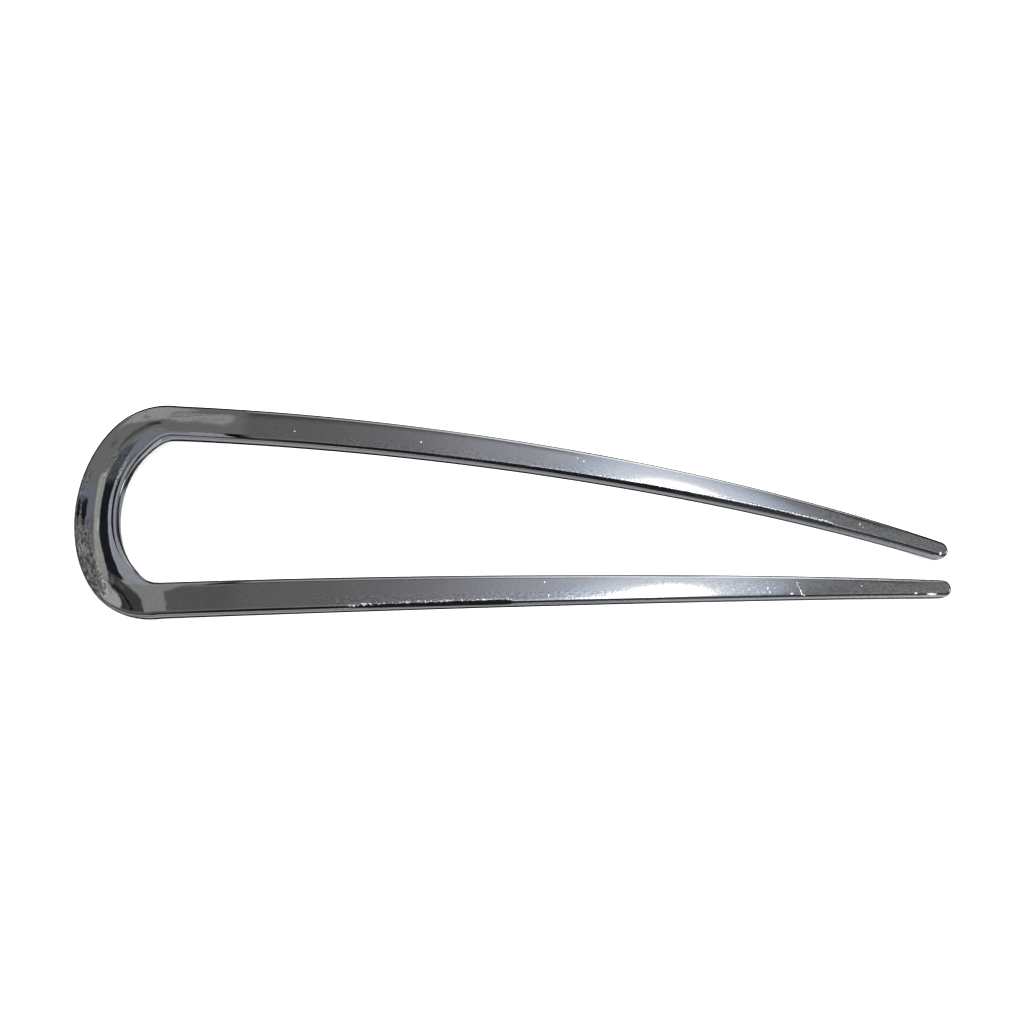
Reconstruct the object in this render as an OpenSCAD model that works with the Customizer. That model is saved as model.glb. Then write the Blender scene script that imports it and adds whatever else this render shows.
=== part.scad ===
// French hair pin: one cast and plated strip, bent into two tapered legs and bowed along its length

/* [Pin] */
// Length over all, from the outside of the bend to the ends of the legs
pin_length = 140; // [100:1:180]
// Height of the bow of the centre line above its two ends
bow_rise = 9.0; // [4:0.2:16]

/* [Bend] */
// Half the width of the bend across the pin, at the centre line of the strip
bend_half_width = 14.1; // [11:0.1:18]
// Depth of the bend along the pin, at the centre line of the strip
bend_depth = 9.6; // [8:0.1:14]
// Width of the strip at the middle of the bend
bend_strip_width = 6.8; // [5:0.1:8]
// Height of the crown of the face at the middle of the bend
bend_crown = 0.45; // [0:0.05:0.5]

/* [Legs] */
// Width of the strip where a leg leaves the bend
leg_root_width = 5.1; // [4:0.1:6]
// Width of the strip at the end of a leg
leg_tip_width = 2.8; // [2.2:0.1:4]
// How late a leg tapers: 1 is an even taper, and more keeps the width for longer
leg_taper_power = 1.75; // [1:0.05:2.5]
// Angle by which a leg leans inward where it leaves the bend, in degrees
leg_lean = 2.6; // [1.6:0.1:3.4]
// Distance between the centre lines of the two legs at their ends
tip_spacing = 6.3; // [5:0.1:14]

/* [Section] */
// Thickness of the strip in the bend and where a leg leaves it
root_thickness = 3.4; // [2.8:0.1:4]
// Thickness of the strip at the end of a leg
tip_thickness = 3.0; // [2.4:0.1:3.4]
// Radius of the four rounded edges
edge_radius = 0.8; // [0.3:0.05:1]
// Height of the crown of the face along a leg
leg_crown = 0.05; // [0:0.05:0.3]

/* [Hidden] */

// Share of the bend over which the strip keeps its full width, and where it reaches the leg's
full_width_share = 0.62;
leg_width_share = 1.07;

// Sections along the pin and points round each section
bend_steps = 20;
leg_steps = 36;
tip_steps = 6;
edge_steps = 3;
crown_steps = 4;

// The sections round a tip stop just short of its very end, which stays a small flat
tip_sweep = 87;

// A rounded edge takes no more than this share of half the width, where the tip narrows
largest_edge_share = 0.8;

// The bow is an arc whose top stands where the thicker bend and the thinner tips both touch down
bow_radius = (pow(pin_length / 2, 2) + bow_rise * bow_rise) / (2 * bow_rise);
bow_middle = pin_length / 2 - bow_radius * (root_thickness - tip_thickness) / (2 * pin_length);

function bow_angle(x) = asin((bow_middle - x) / bow_radius);
function bow_height(x) = bow_radius * (cos(bow_angle(x)) - 1);

// The strip slopes at both ends, so its rounded edges reach a little past its centre line
bend_slope = bow_angle(bend_strip_width / 2);
tip_slope = bow_angle(pin_length);
bend_start_x = edge_radius + (bend_strip_width / 2 - edge_radius) * cos(bend_slope)
    + (root_thickness / 2 - edge_radius - bend_crown) * sin(bend_slope);
tip_end_x = pin_length - edge_radius * (1 - cos(tip_slope))
    - (tip_thickness / 2 - edge_radius - leg_crown) * sin(-tip_slope);

// The bend is half an ellipse, followed a little past its widest point until it leans as the leg does
bend_end_angle = atan2(bend_half_width * cos(leg_lean), -bend_depth * sin(leg_lean));

function bend_point(a) = [bend_start_x + bend_depth * (1 - cos(a)), bend_half_width * sin(a)];
function bend_heading(a) = atan2(bend_half_width * cos(a), bend_depth * sin(a));

bend_stations = [
    for (i = [0 : bend_steps])
        let (a = bend_end_angle * i / bend_steps)
            [bend_point(a), bend_heading(a)]
];

function running_sum(v, i = 0, total = 0) =
    i == len(v) ? [] : concat([total + v[i]], running_sum(v, i + 1, total + v[i]));

bend_distances = running_sum([
    for (i = [0 : bend_steps])
        i == 0 ? 0 : norm(bend_stations[i][0] - bend_stations[i - 1][0])
]);
bend_run = bend_distances[bend_steps];

// Each leg is a shallow parabola that starts along the end of the bend and closes in to the tip
leg_start = bend_point(bend_end_angle);
leg_run = tip_end_x - leg_start[0];
leg_curl = (leg_start[1] - tip_spacing / 2 - leg_run * tan(leg_lean)) / (leg_run * leg_run);

function leg_point(run) = leg_start + [run, -run * tan(leg_lean) - leg_curl * run * run];
function leg_heading(run) = -atan(tan(leg_lean) + 2 * leg_curl * run);

// Sections are even along a leg, and then follow a quarter circle round the tip
tip_radius = leg_tip_width / 2;
leg_runs = concat(
    [for (i = [1 : leg_steps]) (leg_run - tip_radius) * i / leg_steps],
    [for (i = [1 : tip_steps]) leg_run - tip_radius * (1 - sin(tip_sweep * i / tip_steps))]
);

// A station has a place in plan, a heading, a distance from the middle of the bend and one from the tip
half_stations = concat(
    [for (i = [0 : bend_steps])
        [bend_stations[i][0], bend_stations[i][1], bend_distances[i], leg_run + bend_run - bend_distances[i]]],
    [for (run = leg_runs)
        [leg_point(run), leg_heading(run), bend_run + run, leg_run - run]]
);

// Width, thickness and crown of the strip
function ease(t) = let (u = max(0, min(1, t))) u * u * (3 - 2 * u);
function leg_share(distance) = max(0, distance - bend_run) / leg_run;
function bend_share(distance) =
    1 - ease((distance / bend_run - full_width_share) / (leg_width_share - full_width_share));

function strip_width(distance) =
    leg_root_width - (leg_root_width - leg_tip_width) * pow(leg_share(distance), leg_taper_power)
    + (bend_strip_width - leg_root_width) * bend_share(distance);

function strip_thickness(distance) =
    root_thickness - (root_thickness - tip_thickness) * leg_share(distance);

function strip_crown(distance) = leg_crown + (bend_crown - leg_crown) * bend_share(distance);

// Round the tip, the half width and the half thickness draw in along quarter circles
function quarter_round(to_tip, radius) =
    let (inset = max(0, 1 - to_tip / radius)) radius * (1 - sqrt(1 - inset * inset));

function half_width(distance, to_tip) = strip_width(distance) / 2 - quarter_round(to_tip, tip_radius);
function half_thickness(distance, to_tip) =
    strip_thickness(distance) / 2 - quarter_round(to_tip, edge_radius);

// Half a section, from the outer wall over the upper face to the inner wall, as [across, up]
function upper_half(hw, ht, crown) =
    let (
        edge = min(edge_radius, hw * largest_edge_share),
        flat = hw - edge,
        shoulder = ht - edge - min(crown, ht - edge)
    )
    concat(
        [for (i = [0 : edge_steps])
            let (a = 90 * i / edge_steps)
                [flat + edge * cos(a), shoulder + edge * sin(a)]],
        [for (i = [1 : crown_steps - 1])
            let (u = 1 - 2 * i / crown_steps)
                [flat * u, shoulder + edge + crown * (1 - u * u)]],
        [for (i = [0 : edge_steps])
            let (a = 90 + 90 * i / edge_steps)
                [-flat + edge * cos(a), shoulder + edge * sin(a)]]
    );

function section(hw, ht, crown) =
    let (upper = upper_half(hw, ht, crown))
    concat(upper, [for (p = upper) -p]);

// A section stands square to the strip: across lies in the bowed face, and up is square to that face
function placed_section(station, side) =
    let (
        x = station[0][0],
        heading = station[1],
        slope = bow_angle(x),
        centre = [x, side * station[0][1], bow_height(x)],
        up = [-sin(slope), 0, cos(slope)],
        level = [cos(heading) * cos(slope), side * sin(heading) * cos(slope), cos(heading) * sin(slope)],
        along = level / norm(level),
        across = side * cross(up, along),
        shape = section(
            half_width(station[2], station[3]),
            half_thickness(station[2], station[3]),
            strip_crown(station[2])
        )
    )
    [for (p = shape) centre + p[0] * across + p[1] * up];

last = len(half_stations) - 1;
rings = concat(
    [for (i = [last : -1 : 1]) placed_section(half_stations[i], -1)],
    [for (i = [0 : last]) placed_section(half_stations[i], 1)]
);

// The origin is under the middle of the pin, on the surface that it rests on
all_points = [for (ring = rings) for (p = ring) p];
xs = [for (p = all_points) p[0]];
zs = [for (p = all_points) p[2]];
origin = [(min(xs) + max(xs)) / 2, 0, min(zs)];

ring_size = len(rings[0]);
ring_count = len(rings);
side_faces = [
    for (i = [0 : ring_count - 2])
        for (j = [0 : ring_size - 1])
            let (k = (j + 1) % ring_size)
                [i * ring_size + j, (i + 1) * ring_size + j, (i + 1) * ring_size + k, i * ring_size + k]
];
end_faces = [
    [for (j = [0 : ring_size - 1]) j],
    [for (j = [ring_size - 1 : -1 : 0]) (ring_count - 1) * ring_size + j]
];

module hair_pin() {
    color("dimgray")
        translate(-origin)
            polyhedron(all_points, concat(side_faces, end_faces), convexity = 6);
}

hair_pin();
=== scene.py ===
"""Dresses the french hair pin: a finer skin of polished dark plating, and the studio around it."""

import math

import bmesh
import bpy
import numpy as np
from mathutils import Matrix, Vector, noise


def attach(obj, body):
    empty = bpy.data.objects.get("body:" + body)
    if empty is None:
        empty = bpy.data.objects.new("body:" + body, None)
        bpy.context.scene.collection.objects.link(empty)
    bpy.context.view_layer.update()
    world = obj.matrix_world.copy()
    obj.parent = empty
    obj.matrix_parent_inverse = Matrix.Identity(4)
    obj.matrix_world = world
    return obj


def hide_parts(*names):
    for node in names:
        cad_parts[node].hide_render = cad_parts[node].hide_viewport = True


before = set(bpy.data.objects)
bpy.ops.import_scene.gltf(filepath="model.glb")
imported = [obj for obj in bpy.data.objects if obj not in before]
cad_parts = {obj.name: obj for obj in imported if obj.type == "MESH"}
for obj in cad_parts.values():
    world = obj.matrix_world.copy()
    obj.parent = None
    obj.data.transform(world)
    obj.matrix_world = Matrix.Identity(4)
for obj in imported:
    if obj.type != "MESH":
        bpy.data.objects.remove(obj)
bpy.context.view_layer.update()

MM = 0.001

# The pin's sizes, the same as in the part's source: lengths in millimetres, and the lean in degrees
PIN_LENGTH = 140.0
BOW_RISE = 9.0
BEND_HALF_WIDTH = 14.1
BEND_DEPTH = 9.6
BEND_STRIP_WIDTH = 6.8
BEND_CROWN = 0.45
LEG_ROOT_WIDTH = 5.1
LEG_TIP_WIDTH = 2.8
LEG_TAPER_POWER = 1.75
LEG_LEAN = 2.6
TIP_SPACING = 6.3
ROOT_THICKNESS = 3.4
TIP_THICKNESS = 3.0
EDGE_RADIUS = 0.8
LEG_CROWN = 0.05
FULL_WIDTH_SHARE = 0.62
LEG_WIDTH_SHARE = 1.07
# The edge rounding takes at most this share of half the width, reached only in the rounded ends of the tips
LARGEST_EDGE_SHARE = 0.8

# The lower half of each side wall leans in, as it left the mould
WALL_DRAFT = math.tan(math.radians(8.0))

# Places on the pin are given by run and across. The run is the distance from the middle of the head along
# the strip's middle line, in millimetres, above 0 on the upper leg and below 0 on the lower leg. Across goes
# from -1 at the strip's inner side to 1 at its outer side.

# After casting, a file was drawn along two upper edges: how far its flats lean from the face, in degrees
FILED_SLOPE = 42.0
# The run of each place, how wide the flat is there in millimetres, and how torn the plating is beside it
FILED_INNER_UPPER = (
    (43.0, 0.0, 0.0),
    (54.0, 0.35, 0.0),
    (69.0, 0.5, 0.15),
    (84.5, 0.6, 0.2),
    (92.5, 0.8, 0.3),
    (101.0, 0.8, 0.7),
    (123.0, 0.8, 0.8),
    (124.5, 0.0, 0.0),
)
FILED_OUTER_LOWER = (
    (46.2, 0.0, 0.0),
    (48.0, 0.5, 0.8),
    (52.0, 0.6, 0.5),
    (60.0, 0.85, 0.6),
    (66.0, 0.95, 1.0),
    (70.0, 0.9, 1.0),
    (71.2, 0.0, 0.0),
)
# How uneven the file left them: waves in one millimetre, and the share of the width that they add or take
FILED_WAVES = ((0.12, 0.15), (0.4, 0.08))
# How far apart the two edges read the pattern of the waves, so that they differ
FILED_APART = 7.0
# The torn rim beside each flat, from and to this far from the flat's plane, and its fade, in millimetres
TORN_RIM = (-0.11, 0.015)
TORN_FADE = 0.04

# How finely the skin is drawn. The tip's rounding is swept this many degrees, and what is left of it is flat.
TIP_SWEEP = 88.5
BEND_ROWS = 110
LEG_ROWS = 440
TIP_ROWS = 16
FACE_POINTS = 18
EDGE_POINTS = 10
WALL_POINTS = 4

# The export's map lays the pin out in this many lengths, with a gap of this share of each between them
MAP_ROWS = 4
MAP_GAP = 0.03

# Where the casting's grain shows through the face's plating: run from and to, across from and to, how much
GRAINY = (
    (-12.4, -3.0, 0.3, 0.9, 1.0),
    (4.8, 9.6, -0.7, -0.1, 0.55),
    (-1.0, 5.0, 0.6, 0.95, 0.55),
    (122.0, 148.0, -0.95, 0.95, 0.35),
    (44.0, 126.0, -0.9, -0.45, 0.25),
    (-148.0, -126.0, -0.95, 0.95, 0.35),
    (-92.0, -44.0, 0.3, 0.9, 0.35),
    (-126.0, -92.0, -0.4, 0.9, 0.25),
)
# How softly those places end, in millimetres of run and across
GRAINY_FADE = (1.5, 0.15)
# How much the grain shows everywhere else
EVERYWHERE_GRAINY = 0.08

# Specks of dust and polish, one scratch, and a painted highlight, the long glint on the lower tip's near edge
# (the last row): run, across, half length in millimetres, half width across
SPECKS_AND_GLINT = (
    (81.6, 0.16, 0.12, 0.07),
    (80.6, 0.33, 0.07, 0.10),
    (95.8, 0.31, 0.10, 0.05),
    (96.6, 0.40, 0.06, 0.04),
    (102.7, -0.06, 0.11, 0.05),
    (128.3, -0.02, 0.07, 0.15),
    (128.9, -0.25, 0.06, 0.10),
    (37.6, -0.24, 0.09, 0.04),
    (56.6, -0.13, 0.09, 0.04),
    (143.8, -0.65, 0.20, 0.18),
    (-75.7, -0.42, 0.12, 0.05),
    (-76.2, 0.50, 0.07, 0.10),
    (-79.5, 0.58, 0.70, 0.02),
    (-83.0, 0.55, 0.40, 0.02),
    (-105.3, 0.22, 0.09, 0.08),
    (-108.1, 0.26, 0.12, 0.07),
    (-108.9, 0.10, 0.08, 0.05),
    (-109.5, 0.46, 0.14, 0.05),
    (-110.5, 0.52, 0.10, 0.05),
    (-111.2, 0.18, 0.12, 0.09),
    (-111.5, 0.50, 0.10, 0.06),
    (-112.4, 0.16, 0.10, 0.09),
    (-115.3, 0.66, 0.20, 0.06),
    (-116.4, -0.22, 0.06, 0.24),
    (-116.6, 0.14, 0.05, 0.20),
    (-116.85, 0.46, 0.07, 0.20),
    (-117.0, 0.68, 0.11, 0.09),
    (-117.4, 0.80, 0.14, 0.05),
    (-127.9, -0.05, 0.08, 0.07),
    (-138.0, 0.67, 0.25, 0.07),
    # Painted highlight: a long white glint on the lower tip's near edge, drawn in the pale dust colour
    (-141.2, 0.76, 1.1, 0.09),
)

# A speck's cover grows from none to full between these distances from its middle, in its own half sizes
SPECK_RIM = (1.1, 0.6)
# How far a speck's rim wanders along the run, in millimetres, and across
SPECK_RAGGED = (0.5, 0.22, 0.0)

# Colours, as they look on the screen
PLATING = "#adafb2"
THIN_PLATING = "#a6a8ab"
# The pale colour of dust and burrs, also used for the painted highlight on the lower tip
DUST_AND_GLINT = "#e4e6e8"
PAPER = "#fafafa"
TENT = "#ffffff"


def linear(colour):
    """Turns an sRGB hex colour into linear red, green, blue and full cover."""
    parts = [int(colour[i : i + 2], 16) / 255 for i in (1, 3, 5)]
    return [p / 12.92 if p <= 0.04045 else ((p + 0.055) / 1.055) ** 2.4 for p in parts] + [1.0]


def ease(share):
    """Goes from 0 to 1 with a level start and end."""
    held = np.clip(share, 0, 1)
    return held * held * (3 - 2 * held)


def quarter_round(rest, radius):
    """How far a face has drawn in where its rounded end is still rest away."""
    return radius * (1 - np.sqrt(1 - np.clip(1 - rest / radius, 0, 1) ** 2))


def half_pin():
    """Rows around the upper leg and half the bend: their places, directions and outlines, in millimetres."""
    bow_radius = ((PIN_LENGTH / 2) ** 2 + BOW_RISE**2) / (2 * BOW_RISE)
    middle = PIN_LENGTH / 2 - bow_radius * (ROOT_THICKNESS - TIP_THICKNESS) / (2 * PIN_LENGTH)

    def slope(x):
        return np.arcsin((middle - x) / bow_radius)

    tip_radius = LEG_TIP_WIDTH / 2
    head_slope = slope(BEND_STRIP_WIDTH / 2)
    tip_slope = slope(PIN_LENGTH)
    first = (
        EDGE_RADIUS
        + (BEND_STRIP_WIDTH / 2 - EDGE_RADIUS) * math.cos(head_slope)
        + (ROOT_THICKNESS / 2 - EDGE_RADIUS - BEND_CROWN) * math.sin(head_slope)
    )
    last = (
        PIN_LENGTH
        - EDGE_RADIUS * (1 - math.cos(tip_slope))
        - (TIP_THICKNESS / 2 - EDGE_RADIUS - LEG_CROWN) * math.sin(-tip_slope)
    )

    # The middle line: half an ellipse, then a shallow curve to the tip
    lean = math.radians(LEG_LEAN)
    sweep = math.atan2(BEND_HALF_WIDTH * math.cos(lean), -BEND_DEPTH * math.sin(lean))
    turn = sweep * np.arange(BEND_ROWS + 1) / BEND_ROWS
    bend_x = first + BEND_DEPTH * (1 - np.cos(turn))
    bend_y = BEND_HALF_WIDTH * np.sin(turn)
    bend_heading = np.arctan2(BEND_HALF_WIDTH * np.cos(turn), BEND_DEPTH * np.sin(turn))
    gone = np.concatenate([[0], np.cumsum(np.hypot(np.diff(bend_x), np.diff(bend_y)))])
    bend_run = gone[-1]
    leg_run = last - bend_x[-1]
    curl = (bend_y[-1] - TIP_SPACING / 2 - leg_run * math.tan(lean)) / leg_run**2
    straight = (leg_run - tip_radius) * np.arange(1, LEG_ROWS + 1) / LEG_ROWS
    rounding = np.radians(TIP_SWEEP * np.arange(1, TIP_ROWS + 1) / TIP_ROWS)
    run = np.concatenate([straight, leg_run - tip_radius * (1 - np.sin(rounding))])
    x = np.concatenate([bend_x, bend_x[-1] + run])
    y = np.concatenate([bend_y, bend_y[-1] - run * math.tan(lean) - curl * run**2])
    heading = np.concatenate([bend_heading, -np.arctan(math.tan(lean) + 2 * curl * run)])
    along = np.concatenate([gone, bend_run + run])
    to_tip = np.concatenate([leg_run + bend_run - gone, leg_run - run])

    # The strip's width, thickness and crown along that line
    leg_share = np.clip(along - bend_run, 0, None) / leg_run
    on_bend = 1 - ease((along / bend_run - FULL_WIDTH_SHARE) / (LEG_WIDTH_SHARE - FULL_WIDTH_SHARE))
    width = LEG_ROOT_WIDTH - (LEG_ROOT_WIDTH - LEG_TIP_WIDTH) * leg_share**LEG_TAPER_POWER
    width = width + (BEND_STRIP_WIDTH - LEG_ROOT_WIDTH) * on_bend
    thickness = ROOT_THICKNESS - (ROOT_THICKNESS - TIP_THICKNESS) * leg_share
    crown = LEG_CROWN + (BEND_CROWN - LEG_CROWN) * on_bend
    half_width = width / 2 - quarter_round(to_tip, tip_radius)
    half_height = thickness / 2 - quarter_round(to_tip, EDGE_RADIUS)

    # One row of points around the strip at each place: face, near wall, underside, far wall
    edge = np.minimum(EDGE_RADIUS, half_width * LARGEST_EDGE_SHARE)[:, None]
    flat = half_width[:, None] - edge
    rise = np.minimum(crown[:, None], half_height[:, None] - edge)
    shoulder = half_height[:, None] - edge - rise
    quarter = np.linspace(0, math.pi / 2, EDGE_POINTS + 1)
    over = 1 - 2 * np.arange(1, FACE_POINTS) / FACE_POINTS
    side = np.concatenate([flat + edge * np.cos(quarter), flat * over, -flat - edge * np.sin(quarter)], 1)
    top = np.concatenate(
        [
            shoulder + edge * np.sin(quarter),
            shoulder + edge + rise * (1 - over**2),
            shoulder + edge * np.cos(quarter),
        ],
        1,
    )
    down = 1 - 2 * np.arange(1, WALL_POINTS) / WALL_POINTS
    wall_side = np.repeat(half_width[:, None], len(down), 1)
    wall_top = shoulder * down
    across = np.concatenate([side, -wall_side, -side, wall_side], 1)
    height = np.concatenate([top, wall_top, -top, -wall_top], 1)

    # Each row's middle and its two directions, square to the middle line and to the bow
    bow_slope = slope(x)
    up = np.stack([-np.sin(bow_slope), np.zeros_like(x), np.cos(bow_slope)], 1)
    level = np.cos(bow_slope)
    ahead = np.stack(
        [np.cos(heading) * level, np.sin(heading) * level, np.cos(heading) * np.sin(bow_slope)], 1
    )
    ahead /= np.linalg.norm(ahead, axis=1)[:, None]
    outward = np.cross(up, ahead)
    centre = np.stack([x, y, bow_radius * (np.cos(bow_slope) - 1)], 1)
    points = set_in_place(centre, outward, up, across, height)
    middle_x = (points[..., 0].min() + points[..., 0].max()) / 2
    centre -= np.array([middle_x, 0, points[..., 2].min()])
    share = across / half_width[:, None]
    drawn_in = WALL_DRAFT * np.clip(-height, 0, shoulder) / half_width[:, None]
    return centre, outward, up, across * (1 - drawn_in), height, along, share


def set_in_place(centre, outward, up, across, height):
    """Puts flat outlines on their middles, across and up."""
    return centre[:, None] + across[..., None] * outward[:, None] + height[..., None] * up[:, None]


def filed(across, height, along, side, widths):
    """Files a flat on one upper edge, side 1 outer or -1 inner, and says how torn the skin is beside it."""
    places, wanted, tears = zip(*widths)
    width = np.interp(along, places, wanted, 0, 0)
    for waves, push in FILED_WAVES:
        uneven = [noise.noise(Vector((waves * run, FILED_APART * side, waves))) for run in along]
        width *= 1 + push * np.array(uneven)
    depth = width**2 / (8 * EDGE_RADIUS)
    lean = math.radians(FILED_SLOPE)
    reach = side * across * math.sin(lean) + height * math.cos(lean)
    above = reach - (reach.max(1) - depth)[:, None]
    taken = np.clip(above, 0, None)
    crest = np.take_along_axis(side * across, reach.argmax(1)[:, None], 1)
    torn = within(above, *TORN_RIM, TORN_FADE) * np.interp(along, places, tears, 0, 0)[:, None]
    torn = torn * (side * across < crest)
    return across - side * taken * math.sin(lean), height - taken * math.cos(lean), torn


def whole_pin():
    """Both halves, row by row from the lower tip round the bend to the upper tip, with each point's place."""
    centre, outward, up, across, height, along, share = half_pin()
    halves = []
    for side, widths, leg in ((1, FILED_OUTER_LOWER, -1), (-1, FILED_INNER_UPPER, 1)):
        leg_across, leg_height, torn = filed(across, height, along, side, widths)
        points = set_in_place(centre, outward, up, leg_across, leg_height) * np.array([1, leg, 1])
        run = np.broadcast_to(leg * along[:, None], share.shape)
        halves.append((points, np.stack([run, share, torn, height], -1)))
    lower, upper = halves
    return [np.concatenate([low[:0:-1], high]) for low, high in zip(lower, upper)]


def within(value, low, high, rim):
    """1 between low and high, falling to 0 over the rim outside."""
    return ease((value - low) / rim + 1) * ease((high - value) / rim + 1)


def hair_pin_skin(material):
    """Makes the pin's mesh with its smooth skin, the places for the shader and a map for the export."""
    points, place = whole_pin()
    rows, around = points.shape[:2]
    numbers = np.arange(rows * around).reshape(rows, around)
    nearby = np.roll(numbers, -1, axis=1)
    quads = np.stack([numbers[:-1], numbers[1:], nearby[1:], nearby[:-1]], -1).reshape(-1, 4)
    ends = [list(map(int, numbers[0])), list(map(int, numbers[-1][::-1]))]
    mesh = bpy.data.meshes.new("pin_skin")
    mesh.from_pydata((points * MM).reshape(-1, 3).tolist(), [], quads.tolist() + ends)

    # The export's map: the skin unrolled, cut into equal lengths laid side by side
    length = -(-(rows - 1) // MAP_ROWS)
    step, lane = np.meshgrid(np.arange(rows - 1), np.arange(around), indexing="ij")
    row, start = step // length, step % length
    u = np.stack([start, start + 1, start + 1, start], -1) / length
    v = np.stack([lane, lane, lane + 1, lane + 1], -1) / around
    v = (row[..., None] + MAP_GAP + (1 - 2 * MAP_GAP) * v) / MAP_ROWS
    corners = np.concatenate([np.stack([u, v], -1).reshape(-1, 2), np.zeros((2 * around, 2))])
    mesh.uv_layers.new(name="OFBake").data.foreach_set("uv", corners.astype(np.float32).ravel())

    shaped = bmesh.new()
    shaped.from_mesh(mesh)
    bmesh.ops.recalc_face_normals(shaped, faces=shaped.faces)
    shaped.to_mesh(mesh)
    shaped.free()
    mesh.shade_smooth()
    run, share, torn, height = np.moveaxis(place, -1, 0)
    grainy = np.full(run.shape, EVERYWHERE_GRAINY)
    run_fade, across_fade = GRAINY_FADE
    for run_from, run_to, low, high, amount in GRAINY:
        here = within(run, run_from, run_to, run_fade) * within(share, low, high, across_fade)
        grainy = np.maximum(grainy, amount * here * (height > 0))
    shown = {"run_mm": run, "across": share, "height_mm": height, "grainy": grainy, "torn": torn}
    for name, values in shown.items():
        attribute = mesh.attributes.new(name, "FLOAT", "POINT")
        attribute.data.foreach_set("value", values.astype(np.float32).ravel())
    mesh.materials.append(material)
    skin = bpy.data.objects.new("hair_pin_skin", mesh)
    bpy.context.scene.collection.objects.link(skin)
    return skin


def add_node(tree, kind, inputs=None, stops=(), **settings):
    """Adds one node with its settings, its inputs, each a link or a held value, and its ramp's stops."""
    node = tree.nodes.new(kind)
    for field, value in settings.items():
        setattr(node, field, value)
    for name, given in (inputs or {}).items():
        if isinstance(given, bpy.types.NodeSocket):
            tree.links.new(given, node.inputs[name])
        else:
            node.inputs[name].default_value = given
    for number, (at, colour) in enumerate(stops):
        stop = node.color_ramp.elements[number] if number < 2 else node.color_ramp.elements.new(at)
        stop.position = at
        stop.color = colour
    return node.outputs


# The plating's unevenness: size of the patches in millimetres and how crumbly they are. The peel is the
# plating's orange peel, the grain is the casting's, and the crumbs are burrs and dust. Real grain and crumbs
# are finer than a pixel of the picture, which is 0.16 mm, so both are drawn as coarse as they need to show.
PATCHES = {
    "tint": (15, 2.0),
    "smears": (3, 4.0),
    "waves": (5, 1.0),
    "peel": (0.6, 2.0),
    "grain": (0.5, 3.0),
    "crumbs": (0.3, 2.0),
}

# Between these levels of the tint pattern the plating goes from full to thin
THINNER_FROM = 0.35
THINNEST_AT = 0.75

# The pits in grainy places are drawn out along the strip: this many to a millimetre of run, to half the
# width and to a millimetre of height. Real ones are finer than a pixel, so these are drawn coarser.
PITS_DRAWN_OUT = (1.6, 8.0, 2.4)
PITS_NOISE = {"Scale": 1.0, "Detail": 6.0, "Roughness": 0.72}
# Between these levels of their pattern the plating goes from darkest to brightest, by this share each way
PITS_LEVELS = (0.42, 0.58)
PITTED = 0.6

# Burrs on the torn rim grow from none to full between these levels of the crumbs
BURR_LEVELS = (0.54, 0.62)
# How far dust, burrs and the painted glint cover the plating, how metallic they look and how rough they are
DUST_AND_GLINT_COVER = 0.8
DUST_AND_GLINT_METALLIC = 0.2
DUST_AND_GLINT_ROUGHNESS = 0.5
# Between these levels of the smears the plating goes from clean to hazy, and this is its roughness at each
SMEAR_LEVELS = (0.3, 0.7)
HAZE_ROUGHNESS = (0.03, 0.07)

# How high each part of the relief stands, in millimetres
WAVES_HEIGHT = 0.004
PEEL_HEIGHT = 0.0025
GRAIN_HEIGHT = 0.028
TORN_HEIGHT = 0.05
DUST_AND_GLINT_HEIGHT = 0.02


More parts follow.
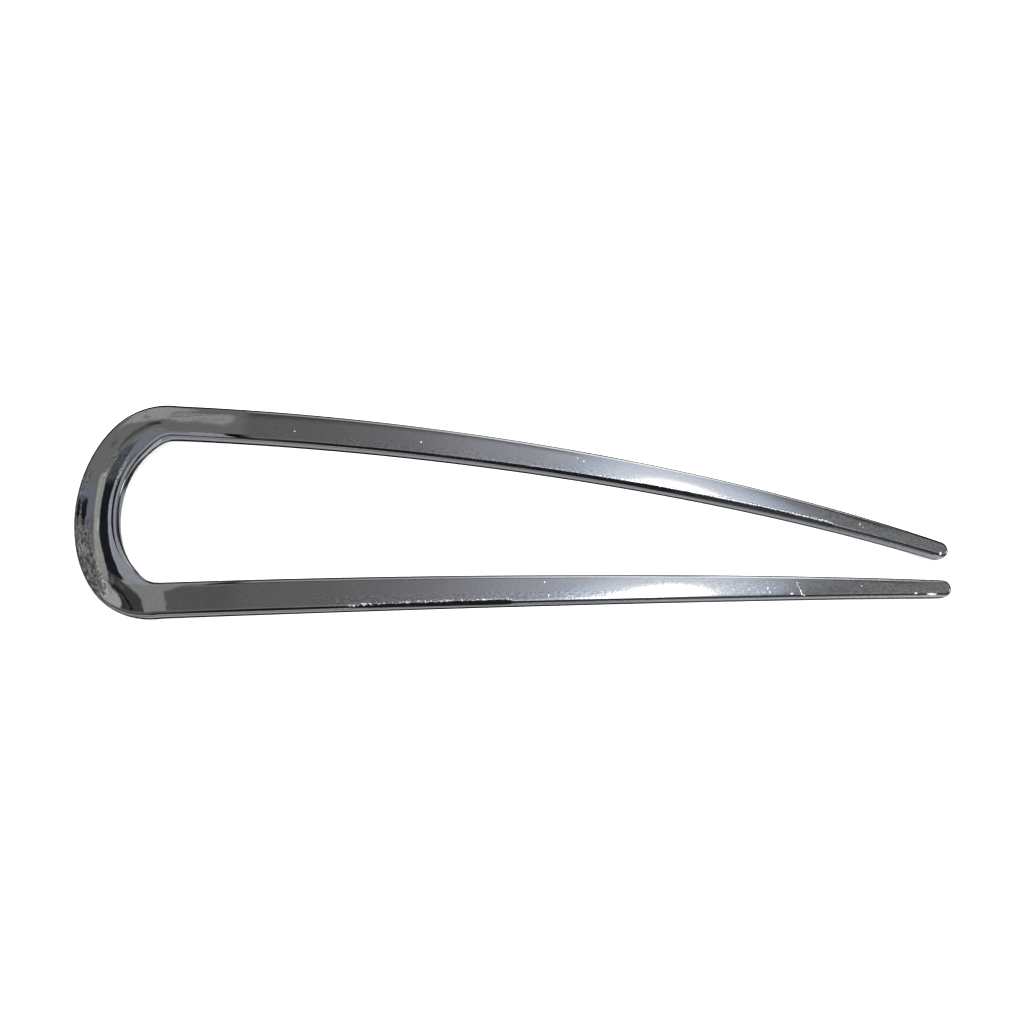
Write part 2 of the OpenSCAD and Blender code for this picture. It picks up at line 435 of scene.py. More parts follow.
def black_nickel_plate():
    """Black nickel plated over a polished zinc casting: a dark mirror, a little wavy from the buffing."""
    material = bpy.data.materials.new("black_nickel_on_polished_zinc")
    material.use_nodes = True
    tree = material.node_tree
    shader = tree.nodes["Principled BSDF"].inputs
    place = add_node(tree, "ShaderNodeTexCoord")["Object"]
    in_mm = add_node(tree, "ShaderNodeVectorMath", {0: place, "Scale": 1 / MM}, operation="SCALE")[0]
    patches = {
        name: add_node(tree, "ShaderNodeTexNoise", {"Vector": in_mm, "Scale": 1 / size, "Detail": detail})
        for name, (size, detail) in PATCHES.items()
    }
    skin = {
        name: add_node(tree, "ShaderNodeAttribute", attribute_name=name)["Fac"]
        for name in ("run_mm", "across", "height_mm", "grainy", "torn")
    }

    # Bright burrs on the torn rim beside the filed flats
    low, high = BURR_LEVELS
    burrs = add_node(
        tree, "ShaderNodeMapRange", {"Value": patches["crumbs"]["Fac"], "From Min": low, "From Max": high}
    )
    dust_and_glint = add_node(tree, "ShaderNodeMath", {0: skin["torn"], 1: burrs[0]}, operation="MULTIPLY")[0]

    # Specks of dust and polish, and the painted highlight on the lower tip, each a ragged spot at its place
    # on the skin
    outer, inner = SPECK_RIM
    spot = add_node(tree, "ShaderNodeCombineXYZ", {"X": skin["run_mm"], "Y": skin["across"]})[0]
    spot = add_node(
        tree,
        "ShaderNodeVectorMath",
        {0: patches["crumbs"]["Color"], 1: SPECK_RAGGED, 2: spot},
        operation="MULTIPLY_ADD",
    )[0]
    for run, across, half_length, half_width in SPECKS_AND_GLINT:
        scale = Vector((1 / half_length, 1 / half_width, 0))
        middle = Vector((run, across, 0)) + Vector(SPECK_RAGGED) / 2
        off = add_node(
            tree, "ShaderNodeVectorMath", {0: spot, 1: scale, 2: -middle * scale}, operation="MULTIPLY_ADD"
        )
        off = add_node(tree, "ShaderNodeVectorMath", {0: off[0]}, operation="LENGTH")["Value"]
        spot_cover = add_node(tree, "ShaderNodeMapRange", {"Value": off, "From Min": outer, "From Max": inner})[0]
        dust_and_glint = add_node(tree, "ShaderNodeMath", {0: dust_and_glint, 1: spot_cover}, operation="MAXIMUM")[0]
    dust_and_glint = add_node(tree, "ShaderNodeMath", {0: dust_and_glint, 1: DUST_AND_GLINT_COVER}, operation="MULTIPLY")[0]

    # The plating is a little thinner in broad patches, and pitted where the casting is grainy
    tint = add_node(
        tree,
        "ShaderNodeValToRGB",
        {"Fac": patches["tint"]["Fac"]},
        ((THINNER_FROM, linear(PLATING)), (THINNEST_AT, linear(THIN_PLATING))),
    )["Color"]
    drawn = add_node(
        tree, "ShaderNodeCombineXYZ", {"X": skin["run_mm"], "Y": skin["across"], "Z": skin["height_mm"]}
    )[0]
    drawn = add_node(tree, "ShaderNodeVectorMath", {0: drawn, 1: PITS_DRAWN_OUT}, operation="MULTIPLY")[0]
    pits = add_node(tree, "ShaderNodeTexNoise", {"Vector": drawn, **PITS_NOISE})["Fac"]
    low, high = PITS_LEVELS
    pits = add_node(
        tree,
        "ShaderNodeMapRange",
        {"Value": pits, "From Min": low, "From Max": high, "To Min": -PITTED, "To Max": PITTED},
    )[0]
    pitted = add_node(
        tree, "ShaderNodeMath", {0: pits, 1: skin["grainy"], 2: 1.0}, operation="MULTIPLY_ADD"
    )[0]
    tint = add_node(tree, "ShaderNodeVectorMath", {0: tint, "Scale": pitted}, operation="SCALE")[0]
    # Dust and burrs, and the painted highlight on the lower tip, mix a pale colour into the plating
    colour = add_node(tree, "ShaderNodeMix", {"Factor": dust_and_glint, "A": tint, "B": linear(DUST_AND_GLINT)}, data_type="RGBA")
    tree.links.new(colour["Result"], shader["Base Color"])
    metal = add_node(tree, "ShaderNodeMapRange", {"Value": dust_and_glint, "To Min": 1.0, "To Max": DUST_AND_GLINT_METALLIC})[0]
    tree.links.new(metal, shader["Metallic"])

    # Fine haze from handling, in smears, and dull dust and painted glint
    low, high = SMEAR_LEVELS
    clean, hazy = HAZE_ROUGHNESS
    haze = add_node(
        tree,
        "ShaderNodeMapRange",
        {
            "Value": patches["smears"]["Fac"],
            "From Min": low,
            "From Max": high,
            "To Min": clean,
            "To Max": hazy,
        },
    )[0]
    dull = add_node(tree, "ShaderNodeMath", {0: dust_and_glint, 1: DUST_AND_GLINT_ROUGHNESS}, operation="MULTIPLY")[0]
    haze = add_node(tree, "ShaderNodeMath", {0: haze, 1: dull}, operation="MAXIMUM")[0]
    tree.links.new(haze, shader["Roughness"])

    # Relief in millimetres: buffing waves, orange peel, the casting's grain, torn rims, and dust with the
    # painted glint
    grain = add_node(
        tree, "ShaderNodeMath", {0: patches["grain"]["Fac"], 1: skin["grainy"]}, operation="MULTIPLY"
    )[0]
    tearing = add_node(
        tree, "ShaderNodeMath", {0: patches["crumbs"]["Fac"], 1: skin["torn"]}, operation="MULTIPLY"
    )[0]
    layers = (
        (patches["waves"]["Fac"], WAVES_HEIGHT),
        (patches["peel"]["Fac"], PEEL_HEIGHT),
        (grain, GRAIN_HEIGHT),
        (tearing, TORN_HEIGHT),
        (dust_and_glint, DUST_AND_GLINT_HEIGHT),
    )
    relief = 0.0
    for layer, height in layers:
        relief = add_node(
            tree, "ShaderNodeMath", {0: layer, 1: height, 2: relief}, operation="MULTIPLY_ADD"
        )[0]
    bump = add_node(tree, "ShaderNodeBump", {"Strength": 1.0, "Distance": MM, "Height": relief})
    tree.links.new(bump["Normal"], shader["Normal"])
    return material


# The size and height of the paper's tooth, in millimetres. Real fibres are 0.02 to 0.05 mm wide, too fine to
# show, so the tooth is drawn coarser.
TOOTH_SIZE = 0.3
TOOTH_HEIGHT = 0.01
TOOTH_STRENGTH = 0.2
PAPER_ROUGHNESS = 0.9


def white_paper():
    """Matt white paper that the pin lies on: no gloss and a very faint tooth."""
    material = bpy.data.materials.new("matt_white_paper")
    material.use_nodes = True
    tree = material.node_tree
    shader = tree.nodes["Principled BSDF"]
    shader.inputs["Roughness"].default_value = PAPER_ROUGHNESS
    shader.inputs["Base Color"].default_value = linear(PAPER)
    place = add_node(tree, "ShaderNodeTexCoord")["Object"]
    tooth = add_node(tree, "ShaderNodeTexNoise", {"Vector": place, "Scale": 1 / (TOOTH_SIZE * MM)})["Fac"]
    bump = add_node(
        tree,
        "ShaderNodeBump",
        {"Strength": TOOTH_STRENGTH, "Distance": TOOTH_HEIGHT * MM, "Height": tooth},
    )
    tree.links.new(bump["Normal"], shader.inputs["Normal"])
    return material


def toward(zenith, azimuth):
    """The unit direction that far from straight up, in degrees, and that far round from +X to +Y."""
    z, a = math.radians(zenith), math.radians(azimuth)
    return Vector((math.sin(z) * math.cos(a), math.sin(z) * math.sin(a), math.cos(z)))


def in_plating(tone):
    """The strength of light that looks like that tone once the plating has mirrored it."""
    return [seen / sent for seen, sent in zip(linear(tone)[:3], linear(PLATING)[:3])] + [1.0]


# What the plating shows from left to right, by the mirrored direction's share toward +X: a dim room that
# brightens toward the window and falls off beyond it
LEFT_TO_RIGHT = (
    (-1.0, "#585858"),
    (-0.43, "#525252"),
    (-0.17, "#5d5d5e"),
    (-0.03, "#6c6c71"),
    (0.17, "#8f929a"),
    (0.27, "#a7aebb"),
    (0.37, "#c4cad4"),
    (0.43, "#bcc3cc"),
    (0.56, "#888d94"),
    (0.66, "#6a6b6d"),
    (0.84, "#696b6c"),
    (0.9, "#1c1c1e"),
)

# How strongly that shows by degrees from overhead, to the back above 0 and to the front below 0
FRONT_TO_BACK = (
    (-40, 0.0),
    (-37, 1.5),
    (-18, 1.3),
    (-8, 1.0),
    (27, 1.0),
    (30, 0.5),
    (38, 0.4),
    (43, 0.0),
)

# The room's own tones by the same degrees: dark in front, behind the camera, and a grey floor
ROOM_TONES = (
    (-180, "#08080a"),
    (-168, "#0c0c0e"),
    (-164, "#7c7e82"),
    (-157, "#8c8e92"),
    (-148, "#727377"),
    (-125, "#6c6d70"),
    (-108, "#8a8b90"),
    (-97, "#a0a1a6"),
    (-92, "#1a1a1c"),
    (-62, "#161618"),
    (-48, "#08080a"),
    (-38, "#000000"),
    (66, "#000000"),
    (75, "#060608"),
    (148, "#0c0c0e"),
    (153, "#7c7e82"),
    (164, "#7c7e82"),
    (169, "#1c1c1e"),
    (180, "#18181a"),
)

# The room's two ends: the shares toward +X where each begins and is full, and its tones by degrees from
# overhead
ROOM_ENDS = (
    (-0.72, -0.92, ((0, "#6e6e6e"), (78, "#777777"), (86, "#222222"), (91, "#1c1c1c"), (96, "#4e4e50"),
                    (160, "#5a5a5c"), (180, "#242426"))),
    (0.82, 0.93, ((0, "#787a7c"), (58, "#66686a"), (64, "#1c1c1e"), (100, "#1c1c1e"), (108, "#707174"),
                  (150, "#6c6d70"), (180, "#242426"))),
)

# The least that some sides show: the degrees from overhead where each begins, is full, is last full and
# ends, and its tones from left to right
SIDE_TONES = (
    # All round, from the middle to the right
    ((-182, -181, 181, 182), ((0.18, "#000000"), (0.42, "#303033"), (0.56, "#303033"), (0.64, "#1a1a1c"))),
    # In front, on the left
    ((-182, -181, -42, -38), ((-0.34, "#4a4a4d"), (-0.24, "#000000"))),
    # Low in front, on the right
    ((-182, -181, -66, -58), ((0.2, "#000000"), (0.34, "#3a3a3e"), (0.8, "#3e3e42"), (0.86, "#1c1c1e"))),
    # The floor in front, on the right
    ((-168, -164, -112, -106), ((0.3, "#000000"), (0.38, "#a0a2a6"))),
    # Overhead, just beyond the window
    ((-24, -18, 36, 41), ((0.48, "#000000"), (0.54, "#7c8086"), (0.66, "#6a6b6d"), (0.74, "#66686a"))),
    # Overhead and behind, far to the right
    ((-24, -18, 50, 64), ((0.68, "#000000"), (0.74, "#66686a"), (0.86, "#696b6c"), (0.92, "#1c1c1e"))),
    # A light strip behind, on the right
    (
        (50, 56, 86, 92),
        (
            (0.3, "#000000"),
            (0.36, "#f4f6fa"),
            (0.46, "#f4f6fa"),
            (0.54, "#c8cacc"),
            (0.62, "#b0b2b4"),
            (0.66, "#8e9092"),
            (0.7, "#000000"),
        ),
    ),
    # A light strip behind and higher up
    (
        (40, 44, 72, 76),
        (
            (-0.6, "#000000"),
            (-0.45, "#747474"),
            (0.0, "#a8a8aa"),
            (0.1, "#c4c4c8"),
            (0.2, "#e0e2e6"),
            (0.3, "#f4f6fa"),
            (0.38, "#e4e4e8"),
            (0.46, "#c0c2c4"),
            (0.5, "#68686a"),
            (0.54, "#141416"),
        ),
    ),
    # Low behind, from the middle to the right
    (
        (72, 76, 146, 150),
        (
            (-0.05, "#000000"),
            (0.04, "#505052"),
            (0.12, "#848486"),
            (0.24, "#7c7c7e"),
            (0.32, "#404042"),
            (0.4, "#28282a"),
            (0.5, "#202022"),
            (0.64, "#101012"),
        ),
    ),
)

# The soft window overhead: its middle and half sizes, as shares toward +X and +Y
WINDOW_MIDDLE = (0.4, -0.1, 0.0)
WINDOW_HALVES = (0.11, 0.43)
WINDOW_STRENGTH = 5.0
# In front and behind, the degrees from overhead where the window is gone and where it is full
WINDOW_LIMITS = ((-40, -36), (75, 65))
# By the distance from its middle, in half sizes: the end of its full part, its reach and the tones between
WINDOW_FULL = 0.9
WINDOW_REACH = 3.0
WINDOW_TONES = (
    (0.97, "#fefefe"),
    (1.02, "#ececef"),
    (1.12, "#cbd0d8"),
    (1.35, "#bec5d1"),
    (1.65, "#a8b0be"),
    (2.0, "#868a90"),
    (2.4, "#000000"),
)

# A small lamp low on the right: degrees from overhead and round from +X, and degrees from middle to rim
LAMP_AIM = (72, 3)
LAMP_SIZE = 8.0
LAMP_STRENGTH = 3.0

# How strongly the tent lights the paper
TENT_STRENGTH = 2.5


def way_round(degrees):
    """Turns degrees from overhead, -180 to 180, into a share of the whole way round."""
    return degrees / 360 + 0.5


def left_to_right(tones):
    """Turns tones by the mirrored direction's share toward +X into light by its place from left to right."""
    return [((at + 1) / 2, in_plating(tone)) for at, tone in tones]


def studio():
    """A white tent for the paper, and a dim room with one soft window for the mirror."""
    world = bpy.data.worlds.new("studio")
    bpy.context.scene.world = world
    world.use_nodes = True
    tree = world.node_tree
    tree.nodes.clear()
    aim = add_node(tree, "ShaderNodeTexCoord")["Generated"]
    part = add_node(tree, "ShaderNodeSeparateXYZ", {"Vector": aim})

    # Where the mirrored direction points: from left to right, and round from front to back over the top
    to_right = add_node(tree, "ShaderNodeMapRange", {"Value": part["X"], "From Min": -1.0})[0]
    round_back = add_node(tree, "ShaderNodeMath", {0: part["Y"], 1: part["Z"]}, operation="ARCTAN2")[0]
    round_back = add_node(
        tree, "ShaderNodeMapRange", {"Value": round_back, "From Min": -math.pi, "From Max": math.pi}
    )[0]
    seen = add_node(
        tree,
        "ShaderNodeValToRGB",
        {"Fac": to_right},
        left_to_right(LEFT_TO_RIGHT),
    )["Color"]
    strength = add_node(
        tree,
        "ShaderNodeValToRGB",
        {"Fac": round_back},
        [(way_round(angle), (share, share, share, 1.0)) for angle, share in FRONT_TO_BACK],
    )["Color"]
    room = add_node(
        tree,
        "ShaderNodeValToRGB",
        {"Fac": round_back},
        [(way_round(angle), in_plating(tone)) for angle, tone in ROOM_TONES],
    )["Color"]
    mirrored = add_node(
        tree, "ShaderNodeVectorMath", {0: seen, 1: strength, 2: room}, operation="MULTIPLY_ADD"
    )[0]

    # The room's two ends
    height = add_node(tree, "ShaderNodeMath", {0: part["Z"]}, operation="ARCCOSINE")[0]
    height = add_node(tree, "ShaderNodeMapRange", {"Value": height, "From Max": math.pi})[0]
    for begins, ends, tones in ROOM_ENDS:
        cover = add_node(
            tree,
            "ShaderNodeMapRange",
            {"Value": part["X"], "From Min": begins, "From Max": ends},
            interpolation_type="SMOOTHSTEP",
        )[0]
        end = add_node(
            tree,
            "ShaderNodeValToRGB",
            {"Fac": height},
            [(angle / 180, in_plating(tone)) for angle, tone in tones],
        )["Color"]
        mirrored = add_node(
            tree, "ShaderNodeMix", {"Factor": cover, "A": mirrored, "B": end}, data_type="RGBA"
        )["Result"]

    # The least that each side shows
    for (begins, full, last, ends), tones in SIDE_TONES:
        side = add_node(tree, "ShaderNodeValToRGB", {"Fac": to_right}, left_to_right(tones))["Color"]
        for none, all_of_it in ((begins, full), (ends, last)):
            reached = add_node(
                tree,
                "ShaderNodeMapRange",
                {"Value": round_back, "From Min": way_round(none), "From Max": way_round(all_of_it)},
            )[0]
            side = add_node(tree, "ShaderNodeVectorMath", {0: side, "Scale": reached}, operation="SCALE")[0]
        mirrored = add_node(tree, "ShaderNodeVectorMath", {0: mirrored, 1: side}, operation="MAXIMUM")[0]

    # The window, by the distance from its middle in half sizes
    halves = Vector((1 / WINDOW_HALVES[0], 1 / WINDOW_HALVES[1], 0))
    off = add_node(
        tree,
        "ShaderNodeVectorMath",
        {0: aim, 1: halves, 2: -Vector(WINDOW_MIDDLE) * halves},
        operation="MULTIPLY_ADD",
    )[0]
    off = add_node(tree, "ShaderNodeVectorMath", {0: off}, operation="LENGTH")["Value"]
    off = add_node(tree, "ShaderNodeMapRange", {"Value": off, "From Max": WINDOW_REACH})[0]
    brightest = (WINDOW_STRENGTH, WINDOW_STRENGTH, WINDOW_STRENGTH, 1.0)
    window = add_node(
        tree,
        "ShaderNodeValToRGB",
        {"Fac": off},
        [(0.0, brightest), (WINDOW_FULL / WINDOW_REACH, brightest)]
        + [(far / WINDOW_REACH, in_plating(tone)) for far, tone in WINDOW_TONES],
    )["Color"]
    for none, full in WINDOW_LIMITS:
        reached = add_node(
            tree,
            "ShaderNodeMapRange",
            {"Value": round_back, "From Min": way_round(none), "From Max": way_round(full)},
            interpolation_type="SMOOTHSTEP",
        )[0]
        window = add_node(tree, "ShaderNodeVectorMath", {0: window, "Scale": reached}, operation="SCALE")[0]
    mirrored = add_node(tree, "ShaderNodeVectorMath", {0: mirrored, 1: window}, operation="MAXIMUM")[0]

    # The lamp, by degrees from its middle
    near = add_node(tree, "ShaderNodeVectorMath", {0: aim, 1: toward(*LAMP_AIM)}, operation="DOT_PRODUCT")
    rim, core = (math.cos(math.radians(size)) for size in (LAMP_SIZE, LAMP_SIZE / 2))
    lit = add_node(
        tree,
        "ShaderNodeMapRange",
        {"Value": near["Value"], "From Min": rim, "From Max": core, "To Max": LAMP_STRENGTH},
        interpolation_type="SMOOTHSTEP",
    )[0]
    mirrored = add_node(tree, "ShaderNodeVectorMath", {0: mirrored, 1: lit}, operation="MAXIMUM")[0]

    # Mirrored rays see the room, and all others the tent
    for_mirror = add_node(tree, "ShaderNodeBackground", {"Color": mirrored})[0]
    tent = add_node(tree, "ShaderNodeBackground", {"Strength": TENT_STRENGTH, "Color": linear(TENT)})[0]
    path = add_node(tree, "ShaderNodeLightPath")["Is Glossy Ray"]
    chosen = add_node(tree, "ShaderNodeMixShader", {0: path, 1: tent, 2: for_mirror})[0]
    add_node(tree, "ShaderNodeOutputWorld", {"Surface": chosen})


# The cards over the bend are parts of one level sheet, in millimetres: its height and its fading rim
CARDS_HEIGHT = 15.0
CARDS_RIM = 3.0
# From where to where it goes, with the place between where its points change from coarse to fine or back
CARDS_SPAN_X = (-122.0, -84.0, -46.5)
CARDS_SPAN_Y = (-21.0, 30.0, 50.0)
CARDS_COARSE = 0.8
CARDS_FINE = 0.25
# Its tone in the plating between the cards
CARDS_TONE = "#646464"
# Uneven card edges: size of the waves and how far they push, in millimetres, and the seed that holds them the
# same in each run
CARDS_WAVES = ((2.6, 0.35), (0.9, 0.18))
CARDS_SEED = 1
# Each card: its corners, or the two ends of a strip, then the strip's half width and how soft the rim is, all
# in millimetres, and its tone in the plating
CARDS = (
    # The broad light card over the upper shoulder, and streaks on it
    (((-62, 20.8), (-57, 20.2), (-60, 26), (-70, 33), (-84, 42), (-96, 50), (-106, 50), (-92, 37.5),
      (-84, 32), (-78, 28), (-73, 23.8), (-68, 20.4), (-64.5, 18.9), (-62, 18.6)), 0, 1.2, "#8a8a8a"),
    (((-68.3, 22.3), (-71, 25.6)), 0.5, 0.8, "#6a6a6a"),
    (((-88, 37), (-97, 44)), 0.5, 0.5, "#2c2c2c"),
    (((-86, 36.5), (-93, 41)), 0.3, 0.5, "#484848"),
    (((-76, 18), (-79, 20.5)), 0.9, 1.6, "#505050"),
    # The dark streak where the shoulder turns in
    (((-63.6, 18.3), (-66, 18.4), (-70.5, 16.5), (-71, 13.5), (-67, 14.6), (-64.2, 16.2)), 0, 1.0, "#484848"),
    (((-63.9, 16.9), (-65.2, 17.4)), 0.5, 0.6, "#2b2b2b"),
    # Two tones at the root of the upper leg, and streaks on them
    (((-64, 14.2), (-63.2, 16.8), (-60, 17.2), (-56, 16.9), (-51, 15.6), (-48, 16.5), (-44, 17.5), (-44, 12),
      (-62, 13.5), (-66, 13.4)), 0, 0.5, "#626262"),
    (((-63.5, 19.8), (-60, 20), (-55, 19.2), (-50.5, 18.6), (-50.5, 17), (-52, 16.4), (-56, 17.1),
      (-60, 17.6), (-62, 18.2)), 0, 1.3, "#868686"),
    (((-58, 20.2), (-50, 19.2)), 0.3, 0.4, "#5c5c5c"),
    (((-62, 19.3), (-56.5, 18.9)), 0.15, 0.3, "#636363"),
    (((-57.5, 17.9), (-52, 17.5)), 0.12, 0.3, "#6e6e6e"),
    # Outer left: bluish, purplish and black fields, and streaks beside them
    (((-75, 6), (-75.5, 3), (-84, 3.4), (-84.3, 5.6), (-90, 9.8), (-98, 14), (-105, 18.5), (-103, 20),
      (-94, 15.5), (-84, 11.5), (-78, 9.8)), 0, 0.8, "#626770"),
    (((-75, 3), (-74.8, 0), (-84, -0.5), (-92, 2), (-96, 4.5), (-84, 3.6)), 0, 0.8, "#605d63"),
    (((-103, 21.5), (-113, 26.5)), 0.9, 0.8, "#848484"),
    (((-103, 17.5), (-112, 19.5)), 0.4, 0.5, "#4c4c4c"),
    (((-104, 8), (-110, 11)), 0.8, 1.0, "#868686"),
    (((-97, 4.5), (-106, 7)), 0.6, 0.8, "#808080"),
    (((-83.4, 8.3), (-83.6, 4.6), (-87, 4.0), (-92, 5.8), (-98, 9.3), (-101, 12), (-96, 12.2), (-90, 10.2)),
     0, 0.5, "#13161b"),
    # The rough lower left, with two light streaks
    (((-77, -1.5), (-84, -1), (-98, -2), (-100, -8), (-92, -17), (-80, -17.5), (-78.5, -13), (-76.8, -8)),
     0, 1.0, "#5c5c5c"),
    (((-85, -2.2), (-98, -3.2)), 0.9, 1.2, "#868686"),
    (((-86, -9), (-91, -10.5)), 0.7, 1.0, "#848484"),
    # The light column left of the bar, with yellowish and greenish places, and its lower end
    (((-75.8, 10.5), (-70.6, 10), (-69.9, 6), (-70.2, 0), (-69.9, -3), (-70.3, -6), (-72, -9), (-71.4, -12),
      (-72.5, -18.5), (-84, -18.5), (-78.5, -13.5), (-76.6, -8), (-75.2, -2), (-74.7, 0), (-74, 4)),
     0, 0.8, "#8a8b89"),
    (((-73.2, -0.5), (-73.6, 9)), 0.8, 1.2, "#94938a"),
    (((-71.6, 0.5), (-71.6, 1.8)), 0.5, 0.5, "#a9aaa4"),
    (((-71.8, 3.5), (-71.5, 6.5)), 1.0, 1.0, "#848d90"),
    (((-74.5, -3.5), (-73, -3.5)), 0.8, 1.4, "#92918a"),
    (((-81, -16.8), (-78.6, -14.6), (-76, -12.2), (-72.4, -11.9), (-70.9, -12.4), (-70.5, -15.4),
      (-72, -17.5), (-80, -18.5)), 0, 0.3, "#999999"),
    (((-76, -12), (-80.5, -16)), 0.35, 0.3, "#1c1c1c"),
    (((-71.9, -11.2), (-73.2, -11.8)), 0.3, 0.3, "#2c2c2c"),
    # Right of the bar: a black field, and the light bluish card before it
    (((-53, 13), (-46.5, 13), (-46.5, -8), (-53, -8)), 0, 0.8, "#040406"),
    (((-65.6, 12.5), (-63.6, 14.2), (-61.5, 13.4), (-52, 12), (-52, -2), (-58, -6), (-66.2, -6.5),
      (-66.2, 0), (-66.6, 3), (-66.4, 6), (-65.3, 9)), 0, 0.7, "#868a90"),
    (((-65.3, 8.5), (-65.6, 12.5), (-63.6, 14.6), (-58, 12.4), (-58, 7), (-62, 8)), 0, 1.5, "#6a6e76"),
    (((-65.2, -4), (-65.3, 8)), 0.35, 0.6, "#979ba1"),
    # The black bar, fading at its upper end
    (((-68.9, 10.2), (-68, 11.4), (-64.7, 11.2), (-64.3, 9.5), (-64.9, 7), (-65.6, 4.5), (-65.8, 2.5),
      (-65.6, 0.5), (-65.1, -3), (-65.6, -5.5), (-67, -6.3), (-70.4, -6.2), (-70.1, -3), (-70.6, 0),
      (-70.2, 5), (-70.1, 8)), 0, 0.4, "#15181e"),
    (((-68.4, 12.4), (-64.4, 11.9), (-64.7, 7.6), (-67, 6.8), (-69.6, 7.4), (-68.9, 10)), 0, 1.3, "#46494d"),
    # The dark field below it, with black streaks and two lighter spots
    (((-70.1, -6.2), (-71.6, -8), (-71.2, -10.5), (-70.2, -13), (-70.8, -15), (-72.5, -18.5), (-68, -19),
      (-63.8, -18), (-64.4, -11), (-65.4, -8), (-66.8, -6.2)), 0, 0.3, "#393939"),
    (((-70.1, -10), (-68.5, -11.4)), 0.75, 0.35, "#161617"),
    (((-68.5, -11.3), (-67.3, -16.4)), 0.5, 0.35, "#161617"),
    (((-70.2, -13.5), (-69.6, -16)), 0.3, 0.4, "#202021"),
    (((-69.2, -7.3), (-70.4, -8.6)), 0.45, 0.5, "#585858"),
    (((-67.6, -7.6), (-67.2, -9.6)), 0.3, 0.4, "#525252"),
    # The flat light card at the root of the lower leg, and the leg's own tone beyond its crisp end
    (((-65.2, -7.5), (-64.3, -10), (-63.9, -18), (-58.7, -18), (-59.4, -12), (-60, -9.6), (-57, -8.2),
      (-57, -4), (-62, -4), (-64.5, -4.5)), 0, 0.25, "#7a7a7a"),
    (((-59.4, -12), (-60, -9.7), (-57, -8.9), (-44, -9), (-44, -18), (-58.7, -18)), 0, 0.3, "#515151"),
)


def card_cover(corners, half_width, rim, x, y):
    """How much a card covers each place: 1 inside, falling to 0 across its rim."""
    nearest = np.full(x.shape, np.inf)
    inside = np.zeros(x.shape, bool)
    for (x0, y0), (x1, y1) in zip(corners, corners[1:] + corners[:1]):
        wide, deep = x1 - x0, y1 - y0
        share = np.clip(((x - x0) * wide + (y - y0) * deep) / (wide**2 + deep**2), 0, 1)
        nearest = np.minimum(nearest, np.hypot(x - x0 - share * wide, y - y0 - share * deep))
        if deep:
            inside ^= ((y0 > y) != (y1 > y)) & (x < x0 + (y - y0) * wide / deep)
    depth = np.where(inside, nearest, -nearest) + half_width
    return ease(depth / rim + 0.5)[..., None]


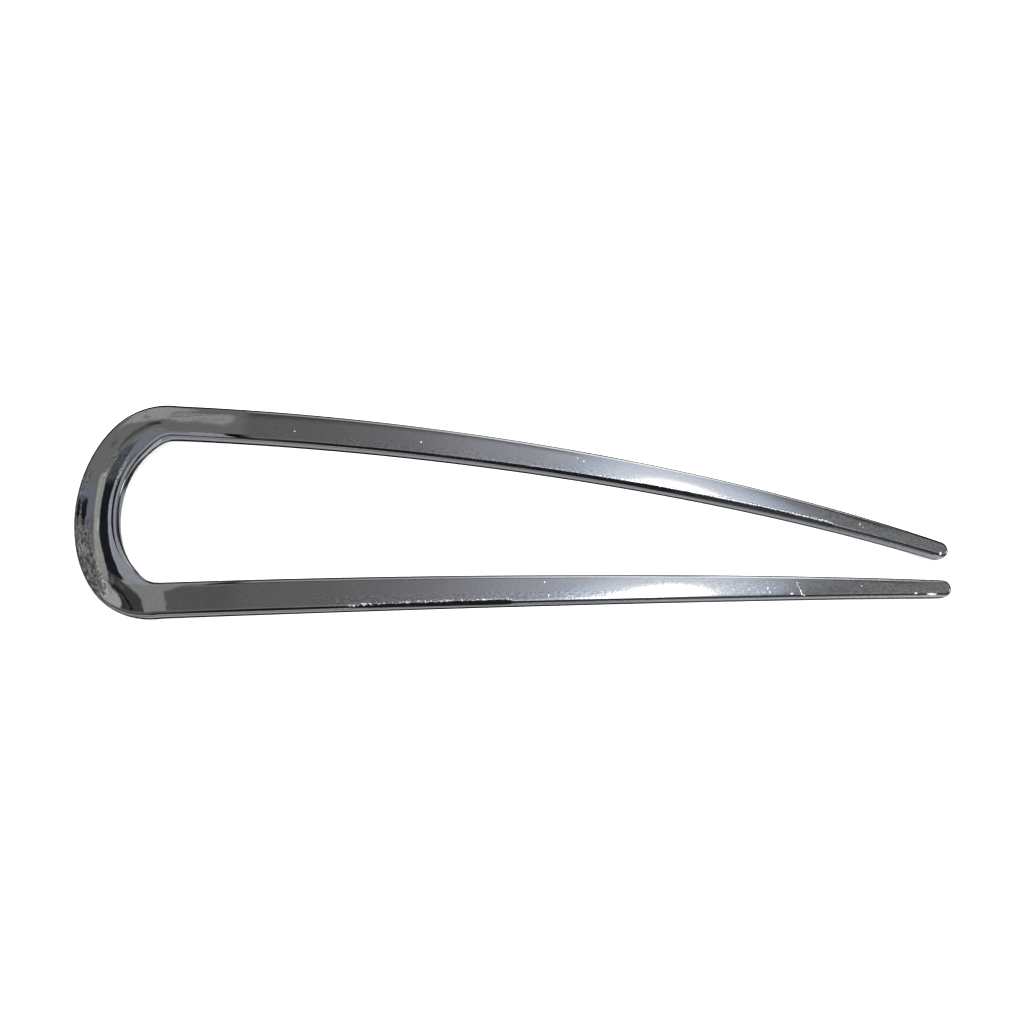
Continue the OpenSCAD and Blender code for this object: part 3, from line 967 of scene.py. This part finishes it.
def cards():
    """What hangs above the bend: light and dark cards that only the mirror sees."""
    left, between, right = CARDS_SPAN_X
    xs = np.concatenate([np.arange(left, between, CARDS_COARSE), np.arange(between, right, CARDS_FINE)])
    front, between, back = CARDS_SPAN_Y
    ys = np.concatenate([np.arange(front, between, CARDS_FINE), np.arange(between, back, CARDS_COARSE)])
    x, y = np.meshgrid(xs, ys, indexing="ij")
    points = np.stack([x, y, np.full_like(x, CARDS_HEIGHT)], -1)
    uneven_x, uneven_y = x.copy(), y.copy()
    noise.seed_set(CARDS_SEED)
    for size, push in CARDS_WAVES:
        waves = [noise.noise_vector(Vector(point) / size) for point in points.reshape(-1, 3)]
        waves = np.array(waves).reshape(points.shape)
        uneven_x += push * waves[..., 0]
        uneven_y += push * waves[..., 1]
    tone = np.broadcast_to(np.array(in_plating(CARDS_TONE)[:3]), points.shape).copy()
    for corners, half_width, rim, colour in CARDS:
        covered = card_cover(corners, half_width, rim, uneven_x, uneven_y)
        tone += (np.array(in_plating(colour)[:3]) - tone) * covered
    cover = ease((x - xs[0]) / CARDS_RIM) * ease((xs[-1] - x) / CARDS_RIM)
    cover *= ease((y - ys[0]) / CARDS_RIM) * ease((ys[-1] - y) / CARDS_RIM)
    numbers = np.arange(x.size).reshape(x.shape)
    quads = np.stack([numbers[:-1, :-1], numbers[1:, :-1], numbers[1:, 1:], numbers[:-1, 1:]], -1)
    mesh = bpy.data.meshes.new("cards")
    mesh.from_pydata((points * MM).reshape(-1, 3).tolist(), [], quads.reshape(-1, 4).tolist())
    tones = mesh.attributes.new("tone", "FLOAT_COLOR", "POINT")
    tones.data.foreach_set("color", np.append(tone, cover[..., None], axis=-1).astype(np.float32).ravel())

    # They glow with their own tones and show in reflections alone
    material = bpy.data.materials.new("glowing_cards")
    material.use_nodes = True
    tree = material.node_tree
    tree.nodes.clear()
    own = add_node(tree, "ShaderNodeAttribute", attribute_name="tone")
    glow = add_node(tree, "ShaderNodeEmission", {"Color": own["Color"]})[0]
    clear = add_node(tree, "ShaderNodeBsdfTransparent")[0]
    mixed = add_node(tree, "ShaderNodeMixShader", {0: own["Alpha"], 1: clear, 2: glow})[0]
    add_node(tree, "ShaderNodeOutputMaterial", {"Surface": mixed})
    mesh.materials.append(material)
    sheet = bpy.data.objects.new("cards", mesh)
    bpy.context.scene.collection.objects.link(sheet)
    sheet.visible_camera = False
    sheet.visible_diffuse = False
    sheet.visible_shadow = False
    sheet.visible_transmission = False


def paper_sheet(material):
    """The plain pale floor, three metres square."""
    half = 1.5
    corners = [(-half, -half, 0), (half, -half, 0), (half, half, 0), (-half, half, 0)]
    mesh = bpy.data.meshes.new("paper_sheet")
    mesh.from_pydata(corners, [], [(0, 1, 2, 3)])
    mesh.materials.append(material)
    sheet = bpy.data.objects.new("paper_sheet", mesh)
    bpy.context.scene.collection.objects.link(sheet)
    return sheet


def camera():
    """Looks down at the pin from the photograph's angle; places in millimetres."""
    eye = Vector((-40.26, -71.313, 215.407))
    aim = Vector((-4.862, 1.832, 10.0))
    roll = math.radians(0.878)
    focal_pixels = 1448.28
    picture = 1024
    data = bpy.data.cameras.new("camera")
    data.sensor_fit = "HORIZONTAL"
    data.sensor_width = 36.0
    data.lens = focal_pixels / picture * data.sensor_width
    data.clip_start = 0.01
    ahead = (aim - eye).normalized()
    right = ahead.cross(Vector((0, 1, 0))).normalized()
    up = right.cross(ahead)
    rolled_right = math.cos(roll) * right + math.sin(roll) * up
    rolled_up = math.cos(roll) * up - math.sin(roll) * right
    holder = bpy.data.objects.new("camera", data)
    turn = Matrix((rolled_right, rolled_up, -ahead)).transposed().to_4x4()
    holder.matrix_world = Matrix.Translation(eye * MM) @ turn
    bpy.context.scene.collection.objects.link(holder)
    bpy.context.scene.camera = holder


skin = hair_pin_skin(black_nickel_plate())
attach(skin, "root")
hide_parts("hair_pin")

sheet = paper_sheet(white_paper())
sheet.visible_glossy = False
cards()
studio()
camera()
bpy.context.scene.view_settings.view_transform = "Standard"
